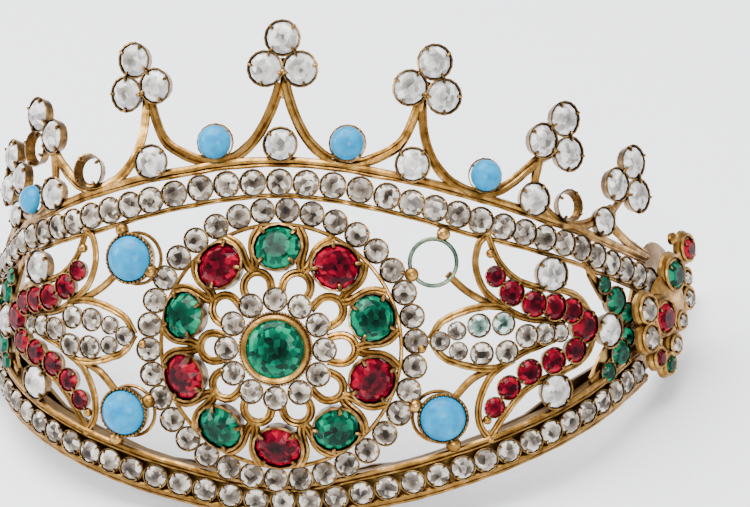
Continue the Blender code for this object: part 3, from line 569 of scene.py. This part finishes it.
SPRIG_STONES = (
    (75.4, 36.2, 1.6), (78.7, 32.1, 2.6), (82.4, 28.6, 1.9), (80.8, 24.3, 1.8),
    (77.4, 22.0, 2.6), (71.6, 20.0, 1.8),
)
STAINED = (LEAF_STONES[3], LEAF_STONES[5])
BASE_RADIUS = 2.12
UPPER_RADIUS = 2.3
FACE = 0.82
TABLE_DROP = 0.35
STONE_FIT = 0.99
settings = []


def set_stones(name, places, material, slot, *nodes):
    """Stones at (frame, radius) places, whose collets are gathered for one piece."""
    stones = copies(name, paste_model, [
        sized(place @ Matrix.Translation((0, 0, -TABLE_DROP * MM)), radius * STONE_FIT)
        for place, radius in places
    ])
    settings.extend(places)
    return finished(stones, name, material, slot, *nodes)


def row_frames(stones, radius):
    """Frames of a row's stones, turned along the row."""
    line = both_ways(stones)
    places = []
    for i, (s, z) in enumerate(line):
        before, after = line[max(i - 1, 0)], line[min(i + 1, len(line) - 1)]
        slant = math.atan2(after[1] - before[1], after[0] - before[0])
        places.append((wall_frame(s, z, 0.0, FACE) @ Matrix.Rotation(slant, 4, "Z"), radius))
    return places


set_stones("base_row_stones", row_frames(BASE_STONES, BASE_RADIUS), clear_paste, "clear_paste",
           "base_row_left", "base_row_right")
set_stones("upper_row_stones", row_frames(UPPER_STONES, UPPER_RADIUS), clear_paste, "clear_paste",
           "upper_row_left", "upper_row_right")
for side_name, side in (("left", -1), ("right", 1)):
    greened = STAINED if side > 0 else ()
    set_stones("leaf_set_" + side_name,
               [(wall_frame(side * s, z, 0.0, FACE), r) for s, z, r in LEAF_STONES
                if (s, z, r) not in greened],
               clear_paste, "clear_paste", "leaf_stones_" + side_name)
    if greened:
        set_stones("leaf_greened_" + side_name,
                   [(wall_frame(side * s, z, 0.0, FACE), r) for s, z, r in greened],
                   greened_paste, "clear_paste")
    set_stones("crescent_set_" + side_name,
               [(wall_frame(side * s, z, 0.2, FACE), r) for s, z, r in CRESCENT_STONES],
               red_paste, "red_paste", "crescent_stones_" + side_name)
    set_stones("sprig_set_" + side_name,
               [(wall_frame(side * s, z, -0.2, FACE), r) for s, z, r in SPRIG_STONES],
               green_paste, "green_paste")


# Medallion: a pierced disc of grooved wires between an outer and an inner ring of clear stones.
# Horseshoe loops stand on the inner ring, and forked wires carry ten coloured stones.

MEDALLION_Z = 31.95
MEDALLION_OUT = -3.1
MEDALLION_LEAN = math.radians(12.35)


def medallion_frame(radius=0.0, angle=0.0, out=0.0):
    """Frame over the medallion's disc, turned so that X points away from its centre."""
    disc = Matrix.Rotation(math.pi / 2 - MEDALLION_LEAN, 4, "X")
    centre = STANCE.inverted() @ (wall(0, MEDALLION_Z, MEDALLION_OUT) / MM)
    place = (STANCE @ Matrix.Translation(centre) @ disc @ Matrix.Rotation(angle, 4, "Z")
             @ Matrix.Translation((radius, 0, out)))
    place.translation *= MM
    return place


def spoke_point(turn, distance, sideways, out):
    """Point beside a spoke of the medallion, turn degrees from the top."""
    angle = math.radians(90 + turn)
    return medallion_frame(0, angle, 0) @ (Vector((distance, sideways, out)) * MM)


def ring_line(radius, out, parts=96):
    """Points of a ring about the medallion's centre."""
    return [medallion_frame(radius, k * math.tau / parts, out).translation for k in range(parts)]


LOOP_CENTRE = 12.1
LOOP_RADIUS = 2.66
LOOP_LINES = (-0.38, 0.38)
LOOP_WIRE = 0.44
LOOP_LEGS = ((9.6, 2.1), (10.7, 2.45))
ARM_LINES = (-0.42, 0.42)
ARM_WIRE = 0.48
FORK = (
    # distance along the stone's spoke, sideways, out
    (14.3, 4.62, 3.5), (15.6, 4.3, 3.3), (17.2, 4.6, 3.0), (18.9, 4.95, 2.6), (20.7, 4.7, 2.1),
    (22.4, 3.7, 1.5),
)
FRET_EDGE = 24.2
RIM_WIRES = (
    # radius, out, gauge
    (22.9, 0.5, 0.42), (25.5, -2.0, 0.6),
)


def fret_height(distance):
    """How far the fret stands out of the disc, which rises to the inner ring."""
    return 0.9 + 0.28 * (FRET_EDGE - distance)


runs = [(ring_line(radius, out), gauge, True) for radius, out, gauge in RIM_WIRES]
for k in range(10):
    turn = 18 + 36 * k
    for shift in LOOP_LINES:
        reach = LOOP_RADIUS + shift
        arc = [math.radians(-100 + 200 * i / 12) for i in range(13)]
        bend = [(LOOP_CENTRE + reach * math.cos(a), reach * math.sin(a)) for a in arc]
        legs = [(d, w + shift) for d, w in LOOP_LEGS]
        bend = [(d, -w) for d, w in legs] + bend + [(d, w) for d, w in reversed(legs)]
        loop = [spoke_point(turn, d, w, fret_height(d)) for d, w in bend]
        runs.append((loop, LOOP_WIRE, False))
    for hand in (-1, 1):
        for shift in ARM_LINES:
            arm = [spoke_point(36 * k, d, hand * (w + shift), out)
                   for d, w, out in smooth(FORK, 3)]
            runs.append((arm, ARM_WIRE, False))
fret = wires("medallion_wires", runs)
finished(fret, "medallion_wires", wire_brass, "gilt_brass", "medallion_fret")

CENTRE_BEZEL = (
    # radius, height
    (4.6, 4.2), (6.7, 4.2), (6.75, 5.9), (6.4, 6.9), (5.95, 7.15), (5.5, 6.8), (5.3, 6.0),
)


def turned(name, profile, place, parts=48):
    """Shell raised from a disc, ring by ring, to a (radius, height) profile in millimetres."""
    bpy.ops.object.select_all(action="DESELECT")
    radius, height = profile[0]
    bpy.ops.mesh.primitive_circle_add(vertices=parts, radius=radius * MM, fill_type="NGON",
                                      location=(0, 0, 0))
    shell = bpy.context.active_object
    shell.name = name
    bpy.ops.object.mode_set(mode="EDIT")
    bpy.ops.mesh.select_all(action="SELECT")
    bpy.ops.transform.translate(value=(0, 0, height * MM))
    for wider, higher in profile[1:]:
        rise = (higher - height) * MM
        bpy.ops.mesh.extrude_region_move(TRANSFORM_OT_translate={"value": (0, 0, rise)})
        growth = wider / radius
        bpy.ops.transform.resize(value=(growth, growth, 1), center_override=(0, 0, 0))
        radius, height = wider, higher
    bpy.ops.object.mode_set(mode="OBJECT")
    shell.data.transform(place)
    outward(shell)
    bpy.ops.object.shade_smooth_by_angle(angle=math.radians(35))
    return shell


bezel = turned("centre_bezel", CENTRE_BEZEL, medallion_frame())
finished(bezel, "centre_bezel", wire_brass, "gilt_brass")
MILLED_TEETH = 72
TOOTH_RADIUS = 0.31
tooth = ball("tooth", 1)
teeth = copies("milled_edge", tooth, [
    sized(medallion_frame(6.85, k * math.tau / MILLED_TEETH, 5.9), TOOTH_RADIUS)
    for k in range(MILLED_TEETH)
])
finished(teeth, "milled_edge", wire_brass, "gilt_brass")

RING_STONES = 34
RING_TURN = math.radians(90 - 2.64)
INNER_STONES = 12
COLOURED_STONES = 10
STONE_TILT = math.radians(28)
set_stones("medallion_ring_set",
           [(medallion_frame(25.5, RING_TURN + k * math.tau / RING_STONES, 0.25), 2.15)
            for k in range(RING_STONES)],
           clear_paste, "clear_paste", "medallion_ring_stones")
set_stones("inner_ring_set",
           [(medallion_frame(9.29, math.pi / 2 + k * math.tau / INNER_STONES, 6.74), 2.1)
            for k in range(INNER_STONES)],
           clear_paste, "clear_paste", "inner_ring_stones")
for first, label, material in ((0, "green", green_paste), (1, "red", red_paste)):
    places = []
    for k in range(first, COLOURED_STONES, 2):
        place = medallion_frame(19.31, math.radians(90 - 36 * k), 4.62)
        places.append((place @ Matrix.Rotation(STONE_TILT, 4, "Y"), 4.25))
    set_stones("medallion_{}_set".format(label), places, material, label + "_paste",
               *["medallion_{}_{}".format(label, n) for n in range(1, 6)])

bpy.ops.object.select_all(action="DESELECT")
bpy.ops.mesh.primitive_cone_add(vertices=20, radius1=1.0, radius2=0.78, depth=0.14)
centre_model = bpy.context.active_object
bpy.ops.object.mode_set(mode="EDIT")
choose_faces(centre_model, lambda middle, normal: normal.z > 0.95)
bpy.ops.transform.rotate(value=math.pi / 20, orient_axis="Z", center_override=(0, 0, 0))
bpy.ops.mesh.inset(thickness=0.24, depth=0.09)
bpy.ops.transform.rotate(value=math.pi / 20, orient_axis="Z", center_override=(0, 0, 0))
bpy.ops.mesh.poke()
bpy.ops.mesh.select_all(action="SELECT")
bpy.ops.mesh.quads_convert_to_tris()
bpy.ops.object.mode_set(mode="OBJECT")
rim_values(centre_model)
centre = copies("centre_emerald", centre_model, [sized(medallion_frame(0, 0, 6.9), 5.5)])
finished(centre, "centre_emerald", green_paste, "green_paste", "centre_green")


# Single stones along the crest and beside the crescents, and the large blue cabochons.
# Clear ones sit in claw collets. Blue ones are moulded glass in bezels with saw-cut edges.

SINGLE_STONES = (
    # s, z, radius, on the left, on the right
    ("under_spire_1", 27.2, 65.6, 2.95, "clear", "clear"),
    ("under_spire_2", 57.7, 56.4, 2.95, "clear", "clear"),
    ("under_spire_3", 80.4, 47.3, 2.6, "clear", "clear"),
    ("scallop_1", 13.45, 69.6, 3.2, "blue", "blue"),
    ("scallop_2", 45.6, 62.4, 3.0, "empty", "blue"),
    ("scallop_3", 68.4, 53.2, 2.8, "blue", "empty"),
    ("corner_top", 58.5, 42.2, 3.1, "clear", "clear"),
    ("corner_low", 55.5, 20.3, 3.1, "clear", "clear"),
    ("apex_clear", 73.9, 27.7, 3.1, "clear", "clear"),
    ("turquoise_top", 30.8, 47.9, 4.4, "blue", "empty"),
    ("turquoise_low", 31.1, 18.8, 4.4, "blue", "blue"),
)
LARGE_RADIUS = 4.0
LARGE_RISE = 3.4
SMALL_RISE = 2.4
CABOCHON_DROP = 0.9
CLOUD_MM = 2.2


def turquoise_glass(name):
    """Moulded opaque glass, fire-polished: an even colour with faint clouds and one soft light."""
    material, shader = new_material(name, Roughness=0.2, IOR=1.5, Specular_IOR_Level=0.14)
    place = add_node(material, "ShaderNodeTexCoord").outputs["Object"]
    cloud = add_node(material, "ShaderNodeTexNoise", {"Vector": place}, Detail=3.0,
                     Scale=1 / (CLOUD_MM * MM))
    tone = shade_ramp(material, cloud.outputs["Fac"],
                      ((0.3, "#006F9C"), (0.5, "#0080B0"), (0.72, "#0090C0")))
    material.node_tree.links.new(tone, shader.inputs["Base Color"])
    return material


blue_glass = turquoise_glass("moulded turquoise glass")
bpy.ops.object.select_all(action="DESELECT")
bpy.ops.mesh.primitive_uv_sphere_add(segments=28, ring_count=16, radius=1.0)
cabochon_model = bpy.context.active_object
bpy.ops.object.mode_set(mode="EDIT")
bpy.ops.mesh.select_all(action="SELECT")
bpy.ops.mesh.bisect(plane_co=(0, 0, -0.12), plane_no=(0, 0, 1), clear_inner=True, use_fill=True)
bpy.ops.object.mode_set(mode="OBJECT")
bpy.ops.object.shade_smooth_by_angle(angle=math.radians(50))
empty_places, bezels = [], []
places = [("under_spire_0", wall_frame(0, 69.3), 2.95)]
for name, s, z, radius, left, right in SINGLE_STONES:
    for side_name, side, kind in (("left", -1, left), ("right", 1, right)):
        place = wall_frame(side * s, z, 0.2, FACE)
        if kind == "clear":
            places.append(("{}_{}".format(name, side_name), place, radius))
        elif kind == "empty":
            empty_places.append((place, radius))
        else:
            rise = LARGE_RISE if radius > LARGE_RADIUS else SMALL_RISE
            back = place @ Matrix.Translation((0, 0, -CABOCHON_DROP * MM))
            stone = copies(name, cabochon_model, [sized(back, radius * STONE_FIT, rise)])
            finished(stone, "blue_{}_{}".format(name, side_name), blue_glass, "blue_glass",
                     "{}_{}".format(name, side_name))
            if radius > LARGE_RADIUS:
                bezels.append((back, radius))
            else:
                settings.append((back, radius * 0.97))
for name, place, radius in places:
    set_stones("single_" + name, [(place, radius)], cloudy_paste, "clear_paste", name)


def round_wire(place, sideways, radius, out, parts=28):
    """Points of a ring lying on a place, moved sideways."""
    return [
        place @ (Vector((math.cos(k * math.tau / parts) * radius + sideways,
                         math.sin(k * math.tau / parts) * radius, out)) * MM)
        for k in range(parts)
    ]


BEZEL = (
    # share of the stone's radius, height
    (0.7, -1.6), (1.03, -1.5), (1.1, -0.3), (1.12, 0.35), (1.02, 0.55), (0.97, 0.3), (0.96, -0.9),
)
SAW_TOOTH = Matrix.Diagonal((0.42 * MM, 0.26 * MM, 0.5 * MM, 1))
SAW_CUTS_PER_MM = 8
RING_RADIUS = 4.85
RING_SHIFT = 0.8
OPEN_RING_GAUGE = 0.42
pieces = []
runs = []
for place, radius in bezels:
    profile = [(r * radius, h) for r, h in BEZEL]
    pieces.append(turned("bezel", profile, place))
    saw = int(radius * SAW_CUTS_PER_MM)
    pieces.append(copies("saw_cut_edge", tooth, [
        place @ Matrix.Rotation(k * math.tau / saw, 4, "Z")
        @ Matrix.Translation((radius * 1.03 * MM, 0, 0.5 * MM)) @ SAW_TOOTH
        for k in range(saw)
    ]))
    inward = RING_SHIFT if place.translation.x < 0 else -RING_SHIFT
    runs.append((round_wire(place, inward, RING_RADIUS, -1.6), 0.36, True))
pick(*pieces)
bpy.ops.object.join()
finished(pieces[0], "bezels", collet_brass, "gilt_brass")
finished(wires("bezel_rings", runs), "bezel_rings", wire_brass, "gilt_brass")
# Verdigris hides the gilding with dull green, and leaves brown brass between.
VERDIGRIS_TONES = ((0.3, "#2E3B31"), (0.5, "#4C5A4C"), (0.72, "#6B6A4C"))
verdigris = gilt_brass("brass gone green", VERDIGRIS_TONES)
open_ring = [round_wire(place, 0, radius, -1.2) for place, radius in empty_places
             if radius > LARGE_RADIUS]
open_ring = wires("open_ring", [(ring, OPEN_RING_GAUGE, True) for ring in open_ring])
finished(open_ring, "open_ring", verdigris, "gilt_brass")
for place, radius in empty_places:
    if radius < LARGE_RADIUS:
        settings.append((place, radius))


# Spires: three cloudy pastes in claw collets on a short stem at each peak of the crest.
# The collets are soldered together round a small brass bead.

SPIRES = (
    # s, z, out, heading and roll of the three stones in degrees, foot of the stem
    (0.0, 84.2, 0.0, 0.0, 0.0, (0.0, 77.0)),
    (33.3, 79.9, 1.0, 22.6, 19.7, (30.3, 74.2)),
    (70.2, 65.7, 1.0, 46.0, 33.0, (63.7, 62.0)),
    (94.9, 51.4, 0.6, 58.0, 33.0, (87.4, 47.1)),
)
SPIRE_TILT = math.radians(12)
SPIRE_REACH = 3.85
SPIRE_RADIUS = 3.05
STEM_GAUGE = 0.75
LOST_STONE = ("spire_2_left", 210)


def spire_frame(side, s, z, out, heading, roll):
    """Frame of a spire's three stones, which face more to the front than the wall does."""
    turn = (Matrix.Rotation(side * math.radians(heading), 3, "Z")
            @ Matrix.Rotation(math.pi / 2 - SPIRE_TILT, 3, "X")
            @ Matrix.Rotation(-side * math.radians(roll), 3, "Z"))
    place = (STANCE.to_3x3() @ turn).to_4x4()
    place.translation = wall(side * s, z, out)
    return place


runs, beads = [], []
for number, (s, z, out, heading, roll, foot) in enumerate(SPIRES):
    for side_name, side in (("left", -1), ("right", 1)):
        if number == 0 and side < 0:
            continue
        name = "spire_0" if number == 0 else "spire_{}_{}".format(number, side_name)
        place = spire_frame(side, s, z, out, heading, roll)
        stones = []
        for angle in (90, 210, 330):
            turn = math.radians(angle)
            spot = Vector((math.cos(turn), math.sin(turn), 0)) * SPIRE_REACH * MM
            seat = place @ Matrix.Translation(spot)
            if (name, angle) == LOST_STONE:
                settings.append((seat, SPIRE_RADIUS))
            else:
                stones.append((seat @ Matrix.Rotation(turn, 4, "Z"), SPIRE_RADIUS))
        set_stones(name + "_set", stones, cloudy_paste, "clear_paste", name)
        beads.append(sized(place @ Matrix.Translation(Vector((0, -2.6, -1.2)) * MM), 0.8))
        low = place @ (Vector((0, -3.6, -2.2)) * MM)
        behind = place @ (Vector((0, 0, -2.6)) * MM)
        stem_foot = wall(side * foot[0], foot[1], -2.0)
        runs.append(([stem_foot, low, behind], STEM_GAUGE, False))
stems = wires("spire_stems", runs)
beads = copies("beads", solder_ball, beads)
pick(stems, beads)
bpy.ops.object.join()
finished(stems, "spire_stems", wire_brass, "gilt_brass")


# Rosettes: one at each end, gilt petals with coloured pastes, on two posts in front of a plate.
# The plate and the sheet behind the small green stones are cut from brass sheet.

ROSETTE_STONES = (
    # s, z, radius, colour
    (92.3, 25.0, 3.1, "red"), (100.6, 31.2, 3.0, "green"), (110.4, 33.4, 2.2, "red"),
    (85.2, 28.6, 2.4, "clear"), (84.6, 23.2, 2.3, "clear"), (105.9, 24.6, 1.7, "clear"),
    (100.4, 21.8, 1.3, "clear"), (95.8, 18.4, 1.5, "clear"), (87.4, 18.4, 1.5, "red"),
    (91.6, 15.8, 1.6, "green"), (106.6, 28.6, 1.3, "clear"),
)
ROSETTE_FACE = 0.88
CARRIER_EDGES = (
    # s, lower z, upper z
    (84, 15.4, 26.4), (90, 14.6, 31.6), (96.5, 15.0, 35.8), (104, 17.4, 36.4), (110, 21.0, 33.0),
)
SPRIG_PLATES = (
    ((72.0, 38.4, 41.4), (75.4, 33.0, 37.2), (79.4, 29.6, 34.0), (83.4, 26.9, 30.4),
     (86.4, 25.4, 28.0)),
    ((66.9, 18.2, 19.8), (71.2, 19.0, 23.0), (76.4, 20.4, 25.0), (81.4, 22.4, 26.6),
     (86.4, 24.2, 26.8)),
)
SHEET_GAUGE = 0.6
POSTS = ((91.0, 25.0), (102.0, 28.5))
POST_PROFILE = ((2.0, -2.6), (2.0, 0.6), (1.2, 0.9))
HUB_PROFILE = ((6.4, 0.6), (6.6, 1.0), (6.2, 1.5), (3.0, 2.2))
TIP_PROFILE = ((1.2, -0.4), (1.3, 0.4), (0.6, 1.0))
PASTES = {"red": red_paste, "green": green_paste, "clear": clear_paste}
plates = []
for side in (-1, 1):
    for edges, out in ((CARRIER_EDGES, -2.75), (SPRIG_PLATES[0], -2.6), (SPRIG_PLATES[1], -2.6)):
        front = out + SHEET_GAUGE
        plates.append(drawn("plate", [
            [wall(side * s, low, out), wall(side * s, low, front), wall(side * s, high, front),
             wall(side * s, high, out)]
            for s, low, high in smooth(edges, 3)
        ]))
    for s, z in POSTS:
        plates.append(turned("post", POST_PROFILE, wall_frame(side * s, z), 16))
pick(*plates)
bpy.ops.object.join()
finished(plates[0], "carrier_plates", sheet_brass, "gilt_brass")

for side_name, side in (("left", -1), ("right", 1)):
    petals = [turned("hub", HUB_PROFILE, wall_frame(side * 97.0, 25.6, 0.0, ROSETTE_FACE))]
    runs = []
    for s, z, radius, kind in ROSETTE_STONES:
        place = wall_frame(side * s, z, 0.0, ROSETTE_FACE)
        petals.append(turned("petal", ((radius + 0.9, 0.9), (radius + 1.35, 1.3),
                                       (radius + 1.2, 1.9), (radius + 0.5, 2.5),
                                       (radius * 0.6, 2.4)), place, 24))
        runs.append((round_wire(place, 0, radius + 0.45, 2.7), 0.36, True))
    tip = wall_frame(side * 107.0, 36.4, 0.8, ROSETTE_FACE)
    petals.append(turned("tip", TIP_PROFILE, tip, 12))
    rims = wires("rosette_rims", runs)
    pick(petals[0], rims, *petals[1:])
    bpy.ops.object.join()
    finished(petals[0], "rosette_plate_" + side_name, wire_brass, "gilt_brass",
             "rosette_" + side_name)
    for kind, material in PASTES.items():
        set_stones("rosette_{}_{}".format(kind, side_name),
                   [(wall_frame(side * s, z, 3.3, ROSETTE_FACE), r)
                    for s, z, r, k in ROSETTE_STONES if k == kind], material, kind + "_paste")


# Collets of every stone: pressed brass cups with four claws each.
# They are soldered to the frame and to each other, so they are one piece here.

collets = copies("collets", collet_model, [
    sized(place @ Matrix.Translation((0, 0, -TABLE_DROP * MM)), radius, max(1.6, radius * 0.8))
    for place, radius in settings
])
finished(collets, "collets", collet_brass, "gilt_brass")

for model in (solder_ball, tooth, paste_model, collet_model, centre_model, cabochon_model,
              claw_model):
    bpy.data.objects.remove(model, do_unlink=True)


# Floor, studio light and camera: a matt pale card, one large soft lamp overhead with two small
# ones for glints, and the photograph's angle.

bpy.ops.object.select_all(action="DESELECT")
bpy.ops.mesh.primitive_plane_add(size=4.0, location=(0, 0, 0))
floor = bpy.context.active_object
floor.name = "floor"
FIBRE_MM = 1.111
card, shader = new_material("matt pale card", Roughness=0.75)
place = add_node(card, "ShaderNodeTexCoord").outputs["Object"]
fibre = add_node(card, "ShaderNodeTexNoise", {"Vector": place}, Detail=3.0,
                 Scale=1 / (FIBRE_MM * MM))
tone = shade_ramp(card, fibre.outputs["Fac"], ((0.3, "#EDEFF3"), (0.7, "#F4F5F8")))
card.node_tree.links.new(tone, shader.inputs["Base Color"])
floor.data.materials.append(card)

CAMERA_AZIMUTH = 0.16647660
CAMERA_ELEVATION = 0.30146189
CAMERA_ROLL = -0.03665237
CAMERA_DISTANCE = 805.11
CAMERA_TARGET = Vector((19.485, 0.0, 52.217))
LENS_MM = 209.54
forward = Vector((
    -math.sin(CAMERA_AZIMUTH) * math.cos(CAMERA_ELEVATION),
    math.cos(CAMERA_AZIMUTH) * math.cos(CAMERA_ELEVATION), -math.sin(CAMERA_ELEVATION),
))
level = Vector((math.cos(CAMERA_AZIMUTH), math.sin(CAMERA_AZIMUTH), 0))
upward = level.cross(forward)
right = math.cos(CAMERA_ROLL) * level + math.sin(CAMERA_ROLL) * upward
up = -math.sin(CAMERA_ROLL) * level + math.cos(CAMERA_ROLL) * upward
axes = Matrix((right, up, -forward)).transposed()
camera_data = bpy.data.cameras.new("camera")
camera_data.lens = LENS_MM
camera_data.sensor_width = 36.0
camera_data.clip_end = 20.0
camera = bpy.data.objects.new("camera", camera_data)
bpy.context.scene.collection.objects.link(camera)
placed = (STANCE.to_3x3() @ axes).to_4x4()
placed.translation = STANCE @ (CAMERA_TARGET - forward * CAMERA_DISTANCE) * MM
camera.matrix_world = placed
bpy.context.scene.camera = camera

LAMPS = (
    # name, place in metres, size in metres, watts
    ("overhead", (-0.15, 0.05, 0.75), 0.7, 17.0),
    ("front", (0.25, -0.75, 0.45), 0.35, 5.0),
    ("side", (-0.7, -0.1, 0.35), 0.25, 3.0),
)
for name, spot, size, power in LAMPS:
    lamp_data = bpy.data.lights.new(name, "AREA")
    lamp_data.size = size
    lamp_data.energy = power
    lamp = bpy.data.objects.new(name, lamp_data)
    bpy.context.scene.collection.objects.link(lamp)
    aim = (Vector((0, 0, 0.03)) - Vector(spot)).to_track_quat("-Z", "Y").to_matrix().to_4x4()
    aim.translation = spot
    lamp.matrix_world = aim
world = bpy.data.worlds.new("studio")
world.use_nodes = True
world.node_tree.nodes["Background"].inputs["Color"].default_value = colour("#EEF0F4")
world.node_tree.nodes["Background"].inputs["Strength"].default_value = 1.15
bpy.context.scene.world = world
